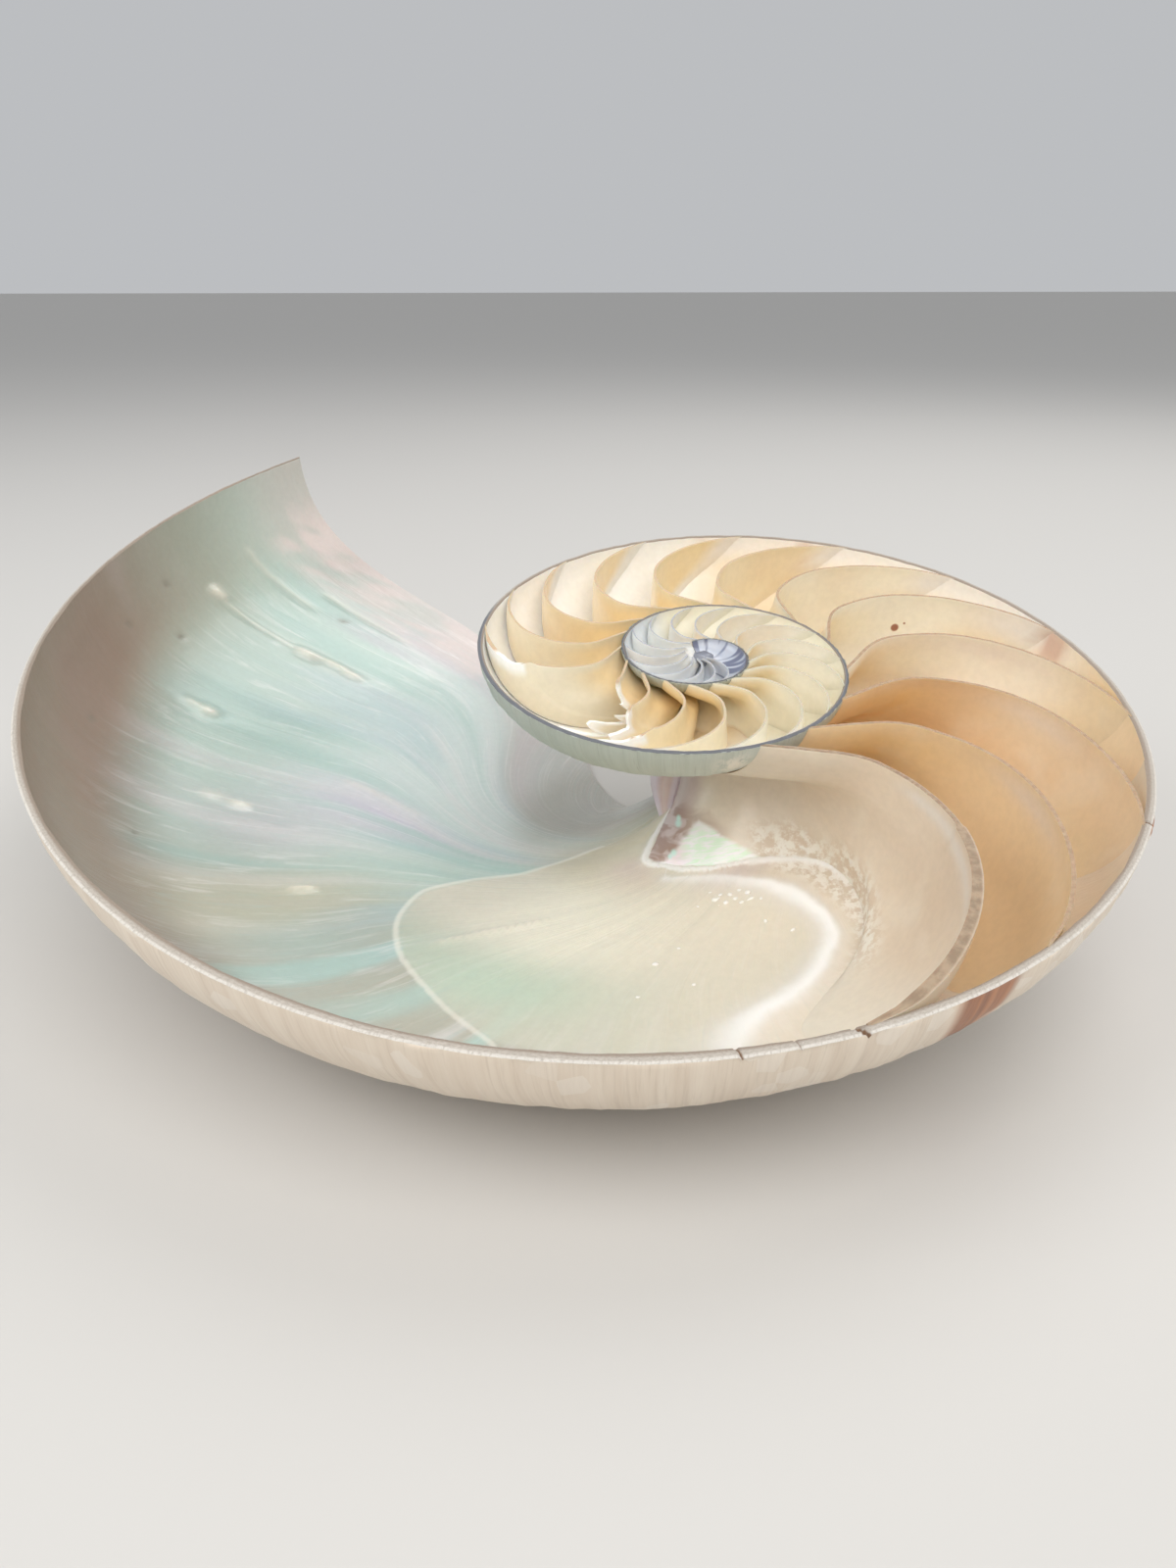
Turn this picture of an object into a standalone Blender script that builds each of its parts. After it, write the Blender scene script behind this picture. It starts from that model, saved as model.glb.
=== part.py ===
"""Half of a chambered nautilus shell, sawn along its plane of symmetry and lying on its side.

The shell is one grown piece. It is modelled as a filled half coil from which the living chamber and
every gas chamber are cut, which leaves the outer wall, the walls between the coils, the septa and the
column of callus on the coiling axis. All of it follows one spiral. A place in the shell is
(u, v, back): back is the angle round the coil counted back from the lip, u runs from the older coil
(0) to the outer wall (1), and v from the sawn plane (0) along the side of the shell to the axis (1).
"""

from math import cos, exp, pi, radians, sin, sqrt, tau

import bmesh
import bpy
from mathutils import Matrix, Vector

# The spiral, in metres and radians.
LIP_RADIUS = 0.109  # from the coiling axis to the keel at the lip
GROWTH = 0.1875  # how fast the coil shrinks going back, per radian
GROWTH_EASE = 0.0011  # and how that rate eases off in the older coils

# The coil's cross-section, as shares of its radius.
WIDEST_AT = 0.46  # distance of the widest place from the axis
HALF_WIDTH = 0.36
SHOULDER_DROP = 0.05  # how far the side curls back towards the axis
KEEL_SHARE = 0.6  # the part of v that runs from the keel to the widest place

# The callus that closes the navel, as shares of the lip radius.
NAVEL_DEPTH = 0.25
NAVEL_REACH = 0.16

# The column inside, as shares of the radius of the coil round it.
COLUMN = 0.042
COLUMN_FLARE = 0.03  # how far the older coil's underside hangs down where it meets the column

# The walls, in metres.
WALL = 0.0014  # outer wall at the lip
WALL_TAPER = 0.7  # walls and septa thin with this power of the coil's radius
FILM = 0.0004  # nacre laid over the older coil

# The lip: on the side of the shell its edge runs ahead of the keel.
LIP_LEAD = radians(20)
LIP_CURVE = 1.3
LEAD_FADE = radians(120)  # the sections behind the lip straighten out over this angle
CLEAR_OF_LIP = radians(32)  # how far ahead of the keel's lip the living chamber's cutter starts

# The septa.
FIRST_SEPTUM = radians(172.7)  # from the lip back to where the youngest septum lies furthest back
# The angle from each septum to the next.
PITCHES = [radians(18.5)] + 8 * [radians(23.2)] + 11 * [radians(21.1)] + 9 * [radians(24)]
SEPTUM = 0.0023  # thickness of a septum as large as the lip
MID_CHAMBER = 0.62  # share of the radius at which a septum's thickness is measured
APEX = 0.33  # where in u a septum lies furthest back
KEEL_BOW = radians(28)  # how far its outer edge stands ahead of that place
INNER_BOW = radians(25)  # and its inner edge
SIDE_BOW = 0.8  # share of the outer edge's lead that it reaches at the axis
SIDE_CURVE = 2.2

# How finely the surfaces are cut up: sections round the coil, and steps in u, v and back.
SECTIONS = 36
SIDE_STEPS = 14
WALL_STEPS = (5, 7)
LIVING_STEPS = 18
CHAMBER_STEPS = 2

SHARP = radians(35)  # edges bent more than this are drawn sharp

# How the half shell lies.
TURN = radians(132.4)  # the lip lies this far round from +X
LEAN = (radians(11.1), radians(-0.1))  # the sawn plane's tilt about X and Y when the shell rests
WORN_FLAT = 0.0002  # depth of the flat worn on the side that it lies on
CUT_LIFT = 0.0003  # how far the cutters stand above the sawn plane
SLAB = 0.2  # side of the block that wears the flat


def radius(back):
    """Distance of the keel from the axis."""
    return LIP_RADIUS * exp(-(GROWTH * back - GROWTH_EASE * back * back))


def thinned(thickness, back):
    return thickness * (radius(back) / LIP_RADIUS) ** WALL_TAPER


def smooth(x):
    x = min(1, max(0, x))
    return x * x * (3 - 2 * x)


def flank_depth(across, size):
    """Depth of the coil's side between its widest place and the axis."""
    inward = 1 - across / (WIDEST_AT * size)
    return size * (HALF_WIDTH - SHOULDER_DROP * inward * inward)


def outside(v, back):
    """(distance from the axis, depth) of the shell's outer face."""
    size = radius(back)
    if v <= KEEL_SHARE:
        turn = v / KEEL_SHARE * pi / 2
        return size * (WIDEST_AT + (1 - WIDEST_AT) * cos(turn)), size * HALF_WIDTH * sin(turn)
    inward = (v - KEEL_SHARE) / (1 - KEEL_SHARE)
    across = WIDEST_AT * size * (1 - inward)
    callus = 1 - smooth(across / (NAVEL_REACH * LIP_RADIUS))
    depth = flank_depth(across, size)
    return across, depth + (NAVEL_DEPTH * LIP_RADIUS - depth) * callus


def chamber_floor(v, back):
    """(distance from the axis, depth) of the inner face of the outer wall."""
    size = radius(back)
    wall = thinned(WALL, back)
    if v <= KEEL_SHARE:
        turn = v / KEEL_SHARE * pi / 2
        across = size * WIDEST_AT + (size * (1 - WIDEST_AT) - wall) * cos(turn)
        return across, (size * HALF_WIDTH - wall) * sin(turn)
    inward = (v - KEEL_SHARE) / (1 - KEEL_SHARE)
    across = size * (WIDEST_AT - (WIDEST_AT - COLUMN) * inward)
    share = 1 - across / (WIDEST_AT * size)
    navel = outside(KEEL_SHARE + (1 - KEEL_SHARE) * share, back)[1]
    return across, min(flank_depth(across, size), navel) - wall


def chamber_roof(v, back):
    """(distance from the axis, depth) of the older coil, which is roof and inner wall to this one."""
    older = radius(back + tau)
    if v <= KEEL_SHARE:
        turn = v / KEEL_SHARE * pi / 2
        across = older * WIDEST_AT + (older * (1 - WIDEST_AT) + FILM) * cos(turn)
        return across, (older * HALF_WIDTH + FILM) * sin(turn)
    inward = (v - KEEL_SHARE) / (1 - KEEL_SHARE)
    across = WIDEST_AT * older + (COLUMN * radius(back) - WIDEST_AT * older) * inward
    flare = COLUMN_FLARE * radius(back) * inward * inward
    return across, older * HALF_WIDTH + FILM + flare


def placed(across, depth, back):
    return Vector((across * cos(back), across * sin(back), -depth))


def inside(u, v, back):
    """A place between the older coil and the outer wall."""
    roof = chamber_roof(v, back)
    floor = chamber_floor(v, back)
    across = roof[0] + (floor[0] - roof[0]) * u
    depth = roof[1] + (floor[1] - roof[1]) * u
    return placed(across, depth if v > 0 else -CUT_LIFT, back)


def septum(u, v, number, side):
    """Angle of a septum's face: side is -1 for the face towards the lip and 1 for the one behind."""
    middle = FIRST_SEPTUM + sum(PITCHES[:number])
    if u < APEX:
        rise = INNER_BOW * (1 - sqrt(1 - (1 - u / APEX) ** 2))
    else:
        rise = KEEL_BOW * ((u - APEX) / (1 - APEX)) ** 2
    rise += (KEEL_BOW - rise) * SIDE_BOW * v**SIDE_CURVE
    half = thinned(SEPTUM, middle) / 2 / (MID_CHAMBER * radius(middle))
    return middle - rise + side * half


def cut_up(mesh, steps):
    """Cuts a unit cube into steps[i] slices along each axis."""
    for axis, slices in enumerate(steps):
        along = [e for e in mesh.edges if abs(e.verts[0].co[axis] - e.verts[1].co[axis]) > 0.9]
        if slices > 1:
            bmesh.ops.subdivide_edges(mesh, edges=along, cuts=slices - 1, use_grid_fill=True)


def resting(mesh):
    """The matrix from the spiral's frame to the way the shell lies, worn flat at the origin's level."""
    lean = Matrix.Rotation(LEAN[0], 4, "X") @ Matrix.Rotation(LEAN[1], 4, "Y")
    turned = lean @ Matrix.Rotation(TURN, 4, "Z")
    spots = [turned @ vert.co for vert in mesh.verts]
    low = [min(spot[axis] for spot in spots) for axis in range(3)]
    high = [max(spot[axis] for spot in spots) for axis in range(3)]
    middle = Vector(((low[0] + high[0]) / 2, (low[1] + high[1]) / 2, low[2] + WORN_FLAT))
    return Matrix.Translation(-middle) @ turned


def finished(mesh, lie, name, collection):
    """Lays the mesh down and makes its object."""
    bmesh.ops.transform(mesh, matrix=lie, verts=mesh.verts)
    bmesh.ops.recalc_face_normals(mesh, faces=mesh.faces)
    data = bpy.data.meshes.new(name)
    mesh.to_mesh(data)
    mesh.free()
    data.shade_smooth()
    data.set_sharp_from_angle(angle=SHARP)
    made = bpy.data.objects.new(name, data)
    collection.objects.link(made)
    return made


def unit_cube():
    mesh = bmesh.new()
    bmesh.ops.create_cube(mesh, size=1, matrix=Matrix.Translation((0.5, 0.5, 0.5)))
    return mesh


def hollow(steps, first, last):
    """The cutter for one chamber: a unit cube bent to lie between the angles first(u, v) and last(u, v)."""
    mesh = unit_cube()
    cut_up(mesh, WALL_STEPS + (steps,))
    for vert in mesh.verts:
        u, v, along = vert.co
        start = first(u, v)
        vert.co = inside(u, v, start + (last(u, v) - start) * along)
    # The two faces of a septum belong to two cutters, so their bent squares are split the same way.
    bmesh.ops.triangulate(mesh, faces=mesh.faces, quad_method="SHORT_EDGE")
    return mesh


def slab():
    """A block under the level that the shell lies on."""
    mesh = unit_cube()
    bmesh.ops.translate(mesh, vec=(-0.5, -0.5, -1), verts=mesh.verts)
    bmesh.ops.scale(mesh, vec=(SLAB, SLAB, SLAB), verts=mesh.verts)
    return mesh


def lip_lead(v, back):
    fade = max(0, 1 - back / LEAD_FADE)
    return LIP_LEAD * sin(pi * v**LIP_CURVE) ** 2 * fade * fade


def filled_coil():
    """One turn of the coil, solid to the axis: its skin, the sawn face and the face at the lip."""
    mesh = bmesh.new()
    rows = []
    navel = mesh.verts.new(placed(0, NAVEL_DEPTH * LIP_RADIUS, 0))
    for section in range(SECTIONS + 1):
        row = []
        for step in range(SIDE_STEPS):
            v = step / SIDE_STEPS
            back = tau * section / SECTIONS
            back -= lip_lead(v, back)
            row.append(mesh.verts.new(placed(*outside(v, back), back)))
        rows.append(row + [navel])
    for young, old in zip(rows, rows[1:] + rows[:1]):
        for step in range(SIDE_STEPS - 1):
            mesh.faces.new((young[step], old[step], old[step + 1], young[step + 1]))
        mesh.faces.new((young[-2], old[-2], navel))
    mesh.faces.new([row[0] for row in rows])
    return mesh


def cut(body, cutters):
    modifier = body.modifiers.new("chambers", "BOOLEAN")
    modifier.operation = "DIFFERENCE"
    modifier.operand_type = "COLLECTION"
    modifier.collection = cutters
    modifier.solver = "EXACT"


def new_collection(name):
    made = bpy.data.collections.new(name)
    bpy.context.scene.collection.children.link(made)
    return made


def nacre():
    material = bpy.data.materials.new("shell")
    material.use_nodes = True
    shader = material.node_tree.nodes["Principled BSDF"]
    shader.inputs["Base Color"].default_value = (0.78, 0.72, 0.62, 1)
    shader.inputs["Roughness"].default_value = 0.35
    return material


def main():
    for old in list(bpy.data.objects):
        bpy.data.objects.remove(old)
    shell = new_collection("nautilus_shell_half")
    cutters = new_collection("cutters")
    cutters.hide_render = True

    coil = filled_coil()
    lie = resting(coil)
    body = finished(coil, lie, "nautilus_shell", shell)
    body.data.materials.append(nacre())
    living = hollow(LIVING_STEPS, lambda u, v: -CLEAR_OF_LIP, lambda u, v: septum(u, v, 0, -1))
    finished(living, lie, "living_chamber", cutters)
    for number in range(len(PITCHES)):
        chamber = hollow(
            CHAMBER_STEPS,
            lambda u, v: septum(u, v, number, 1),
            lambda u, v: septum(u, v, number + 1, -1),
        )
        finished(chamber, lie, f"chamber_{number + 1}", cutters)
    finished(slab(), Matrix(), "worn_flat", cutters)
    for cutter in cutters.objects:
        cutter.hide_render = True
        cutter.display_type = "WIRE"
    cut(body, cutters)


main()
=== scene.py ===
"""Half of a chambered nautilus shell: the fine surface around the plain solid.

Every piece follows the same spiral. A place in the shell is (back, side, skin): back is the angle
round the coil counted back from the lip, side runs from the sawn plane (0) down the shell's side to
the coiling axis (1), and skin runs from the nacre inside (0) to the porcelain outside (1).
"""

from math import pi, radians, tau

import bmesh
import bpy
import numpy as np
from mathutils import Matrix, Vector


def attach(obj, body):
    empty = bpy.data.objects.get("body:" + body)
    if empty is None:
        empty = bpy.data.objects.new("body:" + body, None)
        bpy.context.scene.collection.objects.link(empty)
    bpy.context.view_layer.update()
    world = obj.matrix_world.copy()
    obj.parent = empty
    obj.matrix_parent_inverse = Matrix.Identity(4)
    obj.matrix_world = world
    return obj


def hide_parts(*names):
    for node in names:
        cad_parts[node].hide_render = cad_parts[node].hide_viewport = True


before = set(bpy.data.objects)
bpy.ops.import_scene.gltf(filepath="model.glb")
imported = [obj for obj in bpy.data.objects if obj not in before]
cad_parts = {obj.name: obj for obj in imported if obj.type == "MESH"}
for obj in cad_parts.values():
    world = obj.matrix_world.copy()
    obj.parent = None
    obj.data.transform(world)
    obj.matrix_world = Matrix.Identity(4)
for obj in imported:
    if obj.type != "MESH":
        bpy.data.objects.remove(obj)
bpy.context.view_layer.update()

MM = 0.001

# The spiral, in metres and radians.
LIP_RADIUS = 0.109
GROWTH = (0.189309, -0.00098714, -0.00022456, 0.000014345)

# The cross-section of the coil, as shares of its radius.
WIDEST_AT = 0.46
HALF_WIDTH = 0.36
SHOULDER_DROP = 0.05
KEEL_SHARE = 0.6
NAVEL_DEPTH = 0.25 * LIP_RADIUS
NAVEL_REACH = 0.16 * LIP_RADIUS
NAVEL_SHRINKS = 0.75
COLUMN = 0.042
ROOF_FLARE = 0.02
FILLET, FILLET_REACH = 0.05, 0.035

# Walls. They thin with the coil, and by half again at the lip, which runs ahead down the side.
WALL = 0.0014
WALL_TAPER = 0.5
LIP_THINNESS = 0.5
LIP_LEAD = radians(20)
LIP_CURVE = 1.3
LEAD_FADE = radians(120)
RIM_ROUNDING = 0.00022
# Where a piece's skin counts as its nacre face, and where as its porcelain face.
ON_NACRE, ON_PORCELAIN = 0.01, 0.99
SHARP = radians(40)

# The shell has worn flat where it rests.
WORN_FLAT = 0.00004

# Septa, youngest first: where the first stands, the degrees from each to the next, how thick they
# are and where the dish is deepest, as a share of the way from the older coil to the outer wall.
FIRST_SEPTUM = radians(172.7)
PITCHES = [18.5] + 8 * [23.2] + 11 * [21.1] + 12 * [24]
SEPTUM = 0.00065
LAST_SEPTUM = 0.0016
APEX = 0.35
# The septa from here on are small enough for a coarser mesh.
SMALL_SEPTA_FROM = 16
# Each septum is rooted this far into the older coil, and spans this much, into the outer wall.
ROOT_IN, SPAN = 0.005, 1.013

# How the shell lies: the coiling axis at the sawn plane, that plane's lean and the lip's bearing.
AXIS_AT = Vector((0.02069, -0.00578, 0.03399))
LEAN = (radians(11.1), radians(-0.1))
TURN = radians(132.4)
LIE = (
    Matrix.Translation(AXIS_AT)
    @ Matrix.Rotation(LEAN[0], 4, "X")
    @ Matrix.Rotation(LEAN[1], 4, "Y")
    @ Matrix.Rotation(TURN, 4, "Z")
)


def radius(back):
    """The coil's outer radius."""
    return LIP_RADIUS * np.exp(-sum(g * back ** (n + 1) for n, g in enumerate(GROWTH)))


def thinned(thickness, back):
    """A thickness that shrinks with the coil, more slowly than its radius."""
    return thickness * (radius(back) / LIP_RADIUS) ** WALL_TAPER


def smooth(x):
    """Eases from 0 to 1 as x does."""
    x = np.clip(x, 0, 1)
    return x * x * (3 - 2 * x)


def rise(x, start, over):
    """Eases from 0 at start to 1, over the given distance."""
    return smooth((x - start) / over)


def fall(x, end, over):
    """Eases from 1 to 0 at end, over the given distance."""
    return smooth((end - x) / over)


def quarter(side):
    """The angle round the keel, from the sawn plane to the flank."""
    return np.clip(side / KEEL_SHARE, 0, 1) * pi / 2


def inward(side):
    """The share of the way down the flank, from the keel to the axis."""
    return np.clip((side - KEEL_SHARE) / (1 - KEEL_SHARE), 0, 1)


def flank_depth(across, size):
    share = 1 - across / (WIDEST_AT * size)
    return size * (HALF_WIDTH - SHOULDER_DROP * share * share)


def outer_face(side, back):
    """The porcelain face: closed over the navel outside, and further in the roof of a chamber."""
    size = radius(back)
    turn = quarter(side)
    inn = inward(side)
    keel_across = size * (WIDEST_AT + (1 - WIDEST_AT) * np.cos(turn))
    keel_depth = size * HALF_WIDTH * np.sin(turn)
    # outside the shell
    across = WIDEST_AT * size * (1 - inn)
    reach = NAVEL_REACH * (1 - NAVEL_SHRINKS * smooth((back - radians(270)) / radians(85)))
    callus = 1 - smooth(across / reach)
    depth = flank_depth(across, size)
    open_depth = depth + (NAVEL_DEPTH - depth) * callus
    # inside the younger coil
    younger = radius(back - tau)
    roof_across = WIDEST_AT * size + (0.5 * COLUMN * younger - WIDEST_AT * size) * inn
    flare = ROOF_FLARE * younger * inn**3
    roof_depth = size * HALF_WIDTH + flare
    hidden = smooth((back - radians(335)) / radians(25))
    side_across = across + (roof_across - across) * hidden
    side_depth = open_depth + (roof_depth - open_depth) * hidden
    on_keel = side <= KEEL_SHARE
    return np.where(on_keel, keel_across, side_across), np.where(on_keel, keel_depth, side_depth)


def wall(side, back):
    thin_lip = LIP_THINNESS + (1 - LIP_THINNESS) * smooth(back / radians(90))
    return thinned(WALL, back) * thin_lip


def inner_face(side, back):
    """The nacre face of the outer wall: the floor of the chamber."""
    size = radius(back)
    thick = wall(side, back)
    turn = quarter(side)
    inn = inward(side)
    keel_across = size * WIDEST_AT + (size * (1 - WIDEST_AT) - thick) * np.cos(turn)
    keel_depth = (size * HALF_WIDTH - thick) * np.sin(turn)
    column = 0.5 * COLUMN * size
    across = WIDEST_AT * size + (column - WIDEST_AT * size) * inn
    navel = flank_depth(across, size)
    callus = 1 - smooth(across / NAVEL_REACH)
    navel = np.minimum(navel, navel + (NAVEL_DEPTH - navel) * callus)
    fillet = FILLET * size * np.exp(-(across - column) / (FILLET_REACH * size))
    depth = navel - thick - fillet
    on_keel = side <= KEEL_SHARE
    return np.where(on_keel, keel_across, across), np.where(on_keel, keel_depth, depth)


def chamber_place(u, side, back):
    """A place between the older coil (u 0) and the outer wall (u 1)."""
    roof = outer_face(side, back + tau)
    floor = inner_face(side, back)
    return tuple(a + (b - a) * u for a, b in zip(roof, floor))


def curve(table):
    """A smooth curve through a table of places, with no overshoot between them."""
    at, value = np.array(table, float).T
    step = np.diff(at)
    slope = np.diff(value) / step
    before, after = slope[:-1], slope[1:]
    same = before * after > 0
    lean = np.where(same, 2 * before * after / np.where(same, before + after, 1), 0)
    lean = np.concatenate([slope[:1], lean, slope[-1:]])

    def follow(x):
        x = np.clip(x, at[0], at[-1])
        i = np.clip(np.searchsorted(at, x) - 1, 0, len(step) - 1)
        t = (x - at[i]) / step[i]
        ends = value[i] * (1 + 2 * t) * (1 - t) ** 2 + value[i + 1] * t**2 * (3 - 2 * t)
        return ends + step[i] * (lean[i] * t * (1 - t) ** 2 + lean[i + 1] * t**2 * (t - 1))

    return follow


def bent(*table):
    """A curve from side to an angle round the coil, given in degrees."""
    return curve([(side, radians(angle)) for side, angle in table])


# Where the last septum meets the outer wall (its suture), where its middle runs, and where it meets
# the older coil.
SUTURE = bent(
    (0, 145.5), (0.25, 145.5), (0.38, 147), (0.435, 153), (0.47, 161), (0.519, 169), (0.559, 173.2),
    (0.587, 175), (0.626, 175.5), (0.667, 173), (0.709, 167), (0.746, 158), (0.762, 148),
    (0.776, 136), (0.8, 121), (0.825, 108), (0.869, 105.5), (0.908, 103), (1, 98),
)
OLD_SUTURE = bent(
    (0, 146.5), (0.1, 151), (0.22, 159), (0.36, 167), (0.5, 172.5), (0.6, 174.5), (0.667, 173),
    (0.709, 167), (0.746, 158), (0.776, 142), (0.81, 124), (0.86, 110), (0.908, 104), (1, 98),
)
BOWL = bent(
    (0, 172.7), (0.2, 174), (0.4, 177.5), (0.55, 178.5), (0.66, 176), (0.74, 169), (0.8, 158),
    (0.86, 141), (0.92, 119), (1, 98),
)
ON_COIL = bent((0, 150.7), (0.15, 148), (0.4, 140), (0.6, 131), (0.8, 116), (1, 98))
# A broad band of old muscle attachment ahead of the suture, and the edge of a thin later layer of
# nacre.
BAND = bent(
    (0.385, 137.9), (0.415, 139.5), (0.445, 143.5), (0.457, 147.7), (0.475, 152.5), (0.501, 157.6),
    (0.531, 161.8), (0.575, 163.3), (0.61, 162.6), (0.646, 161.2), (0.686, 157), (0.73, 147),
    (0.757, 136), (0.773, 121),
)
# The band's half width in millimetres and how white it is, from the rim to its far end beside the
# column.
BAND_REACH = curve([
    (0.385, 6.5), (0.43, 5.0), (0.475, 3.2), (0.56, 2.7), (0.63, 3.2), (0.7, 2.4), (0.77, 1.5),
    (1, 1.2),
])
BAND_GLOW = curve([
    (0.385, 0.55), (0.44, 0.75), (0.5, 0.85), (0.6, 1), (0.68, 0.95), (0.72, 0.65), (0.77, 0.5),
    (1, 0.4),
])
LAYER = bent(
    (0, 112), (0.37, 110), (0.404, 105.2), (0.446, 95.9), (0.499, 81.3), (0.539, 73.6),
    (0.59, 68.5), (0.65, 69.5), (0.724, 74.3), (0.818, 77.3), (0.9, 85), (1, 95),
)


def spread(across, depth, back):
    """Points on the upright shell, from their distance off the axis, depth and angle."""
    return np.stack([across * np.cos(back), across * np.sin(back), -depth], axis=1)


def spot(across, degrees, depth):
    """One such point, in millimetres and degrees."""
    return spread(np.array([across * MM]), np.array([depth * MM]), np.radians([degrees]))[0]


def waves(seed, *axes):
    """Smooth irregular undulation between about -1 and 1 over the given scaled coordinates."""
    rng = np.random.default_rng(seed)
    total = 0
    for _ in range(10):
        turns = rng.normal(size=len(axes))
        total = total + np.sin(sum(t * a for t, a in zip(turns, axes)) + rng.uniform(0, tau))
    return total / 10**0.5 * 0.7


def unit_block(steps):
    """A closed unit cube cut into steps[i] slices along each axis."""
    mesh = bmesh.new()
    bmesh.ops.create_cube(mesh, size=1, matrix=Matrix.Translation((0.5, 0.5, 0.5)))
    for axis, slices in enumerate(steps):
        along = [e for e in mesh.edges if abs(e.verts[0].co[axis] - e.verts[1].co[axis]) > 0.9]
        if slices > 1:
            bmesh.ops.subdivide_edges(mesh, edges=along, cuts=slices - 1, use_grid_fill=True)
    return mesh


def set_points(data, points):
    lie = np.array(LIE)
    points = points @ lie[:3, :3].T + lie[:3, 3]
    points[:, 2] = np.maximum(points[:, 2], WORN_FLAT)
    data.vertices.foreach_set("co", points.astype(np.float32).ravel())


def add_attribute(data, name, values):
    layer = data.attributes.new(name, "FLOAT", "POINT")
    layer.data.foreach_set("value", np.asarray(values, np.float32))


def add_tint(data, colours):
    """Stores a colour on each point, for the finish to read."""
    layer = data.color_attributes.new("tint", "FLOAT_COLOR", "POINT")
    rows = np.hstack([colours, np.ones((len(colours), 1))])
    layer.data.foreach_set("color", rows.astype(np.float32).ravel())


def data_from(mesh, name):
    data = bpy.data.meshes.new(name)
    mesh.to_mesh(data)
    mesh.free()
    return data


def shell_piece(name, data):
    piece = bpy.data.objects.new(name, data)
    bpy.context.scene.collection.objects.link(piece)
    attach(piece, "root")
    return piece


def bent_block(mesh, name, place, finishes):
    """Bends a unit block into a piece. place gives its points, marks and colours."""
    data = data_from(mesh, name)
    unit = np.empty(len(data.vertices) * 3, np.float32)
    data.vertices.foreach_get("co", unit)
    unit = unit.reshape(-1, 3).astype(float)
    points, marks, colours = place(unit)
    set_points(data, points)
    add_tint(data, colours)
    for mark, values in marks.items():
        add_attribute(data, mark, values)
    for finish in finishes:
        data.materials.append(finish)
    corners = np.empty(len(data.loops), np.int32)
    data.loops.foreach_get("vertex_index", corners)
    skin = unit[:, 2][corners.reshape(-1, 4)]
    slot = np.where(skin.max(1) < ON_NACRE, 0, np.where(skin.min(1) > ON_PORCELAIN, 1, 2))
    data.polygons.foreach_set("material_index", slot.astype(np.int32))
    turned_right(data)
    data.shade_smooth()
    data.set_sharp_from_angle(angle=SHARP)
    return shell_piece(name, data)


def turned_right(data):
    """Recalculates the normals to face outwards."""
    mesh = bmesh.new()
    mesh.from_mesh(data)
    bmesh.ops.recalc_face_normals(mesh, faces=mesh.faces)
    mesh.to_mesh(data)
    mesh.free()


# ---------------------------------------------------------------- what this one shell shows


# Cracks in the rim: degrees round, half width, depth, and slant from the nacre to the porcelain.
CRACKS = [
    (135.0, 0.22, 0.45, 0.5), (139.3, 0.16, 0.3, 0.4), (144.2, 0.28, 0.8, 1.0),
    (187.4, 0.25, 0.7, 0.3),
]
# Pearly blisters on the living chamber's nacre: lip line, first side, last side, half width, height
# in millimetres.
BLISTERS = [
    (18.2, 0.15, 0.172, 0.75, 0.7), (18.4, 0.18, 0.31, 0.35, 0.3), (18.5, 0.31, 0.338, 0.8, 1.2),
    (18.0, 0.345, 0.375, 0.5, 0.8), (18.4, 0.38, 0.4, 0.6, 0.9), (34.8, 0.255, 0.272, 0.5, 0.5),
    (35.1, 0.28, 0.298, 0.8, 0.9), (50.2, 0.37, 0.392, 0.7, 0.7), (49.5, 0.33, 0.36, 0.9, 0.3),
    (67.5, 0.43, 0.46, 0.6, 0.7), (86.0, 0.53, 0.64, 0.6, 0.5), (11.0, 0.12, 0.26, 0.4, 0.3),
    (8.0, 0.25, 0.38, 0.4, 0.3), (40.0, 0.5, 0.6, 0.8, 0.3),
]
# Small pits beside them: lip line, side.
PITS = [(23.1, 0.098), (26.7, 0.182), (10.2, 0.303), (31.0, 0.11), (46.0, 0.15), (60.5, 0.24)]
# Brown flames on the porcelain: degrees round, half width, how far down the side each one runs.
FLAMES = [
    (156.2, 2.6, 0.34), (187.2, 1.6, 0.3), (204, 3.4, 0.5), (222, 2.6, 0.4), (241, 4.4, 0.62),
    (263, 3.6, 0.5), (286, 5, 0.66), (310, 4.2, 0.55), (331, 4.6, 0.6),
]
# Septa broken off in the past: how deep as a share of the side, and the stretch between coil and
# wall that is gone.
BROKEN = {
    11: (0.06, 0.66, 1.02),
    12: (0.42, 0.2, 1.05),
    13: (0.26, 0.46, 1.1),
    14: (0.05, 0.72, 1.1),
}
# A broken edge counts as chipped from this depth on.
CHIPPED = 0.02
# Raised grains of pearl on the living chamber's floor: degrees back, side, radius in millimetres.
GRAINS = [
    (138.3, 0.716, 0.42), (139.9, 0.697, 0.5), (142.4, 0.683, 0.45), (145.6, 0.685, 0.3),
    (149.4, 0.671, 0.38), (149.6, 0.688, 0.42), (152.4, 0.662, 0.25), (155.1, 0.572, 0.3),
    (125.2, 0.575, 0.32), (132.9, 0.527, 0.3), (123.8, 0.513, 0.28), (141.2, 0.704, 0.3),
    (144, 0.698, 0.36), (147.5, 0.7, 0.3), (136.6, 0.705, 0.28), (151, 0.7, 0.34),
    (134, 0.69, 0.22), (146.8, 0.672, 0.26), (140.4, 0.68, 0.25), (129.5, 0.6, 0.2),
    (112, 0.55, 0.2), (150.5, 0.61, 0.22),
]
# Rust specks on the septa: millimetres off the axis, degrees round, millimetres deep, radius.
SPECKS = [(36.1, 257.0, 5.6, 0.75), (37.4, 256.2, 4.9, 0.3)]
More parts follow.
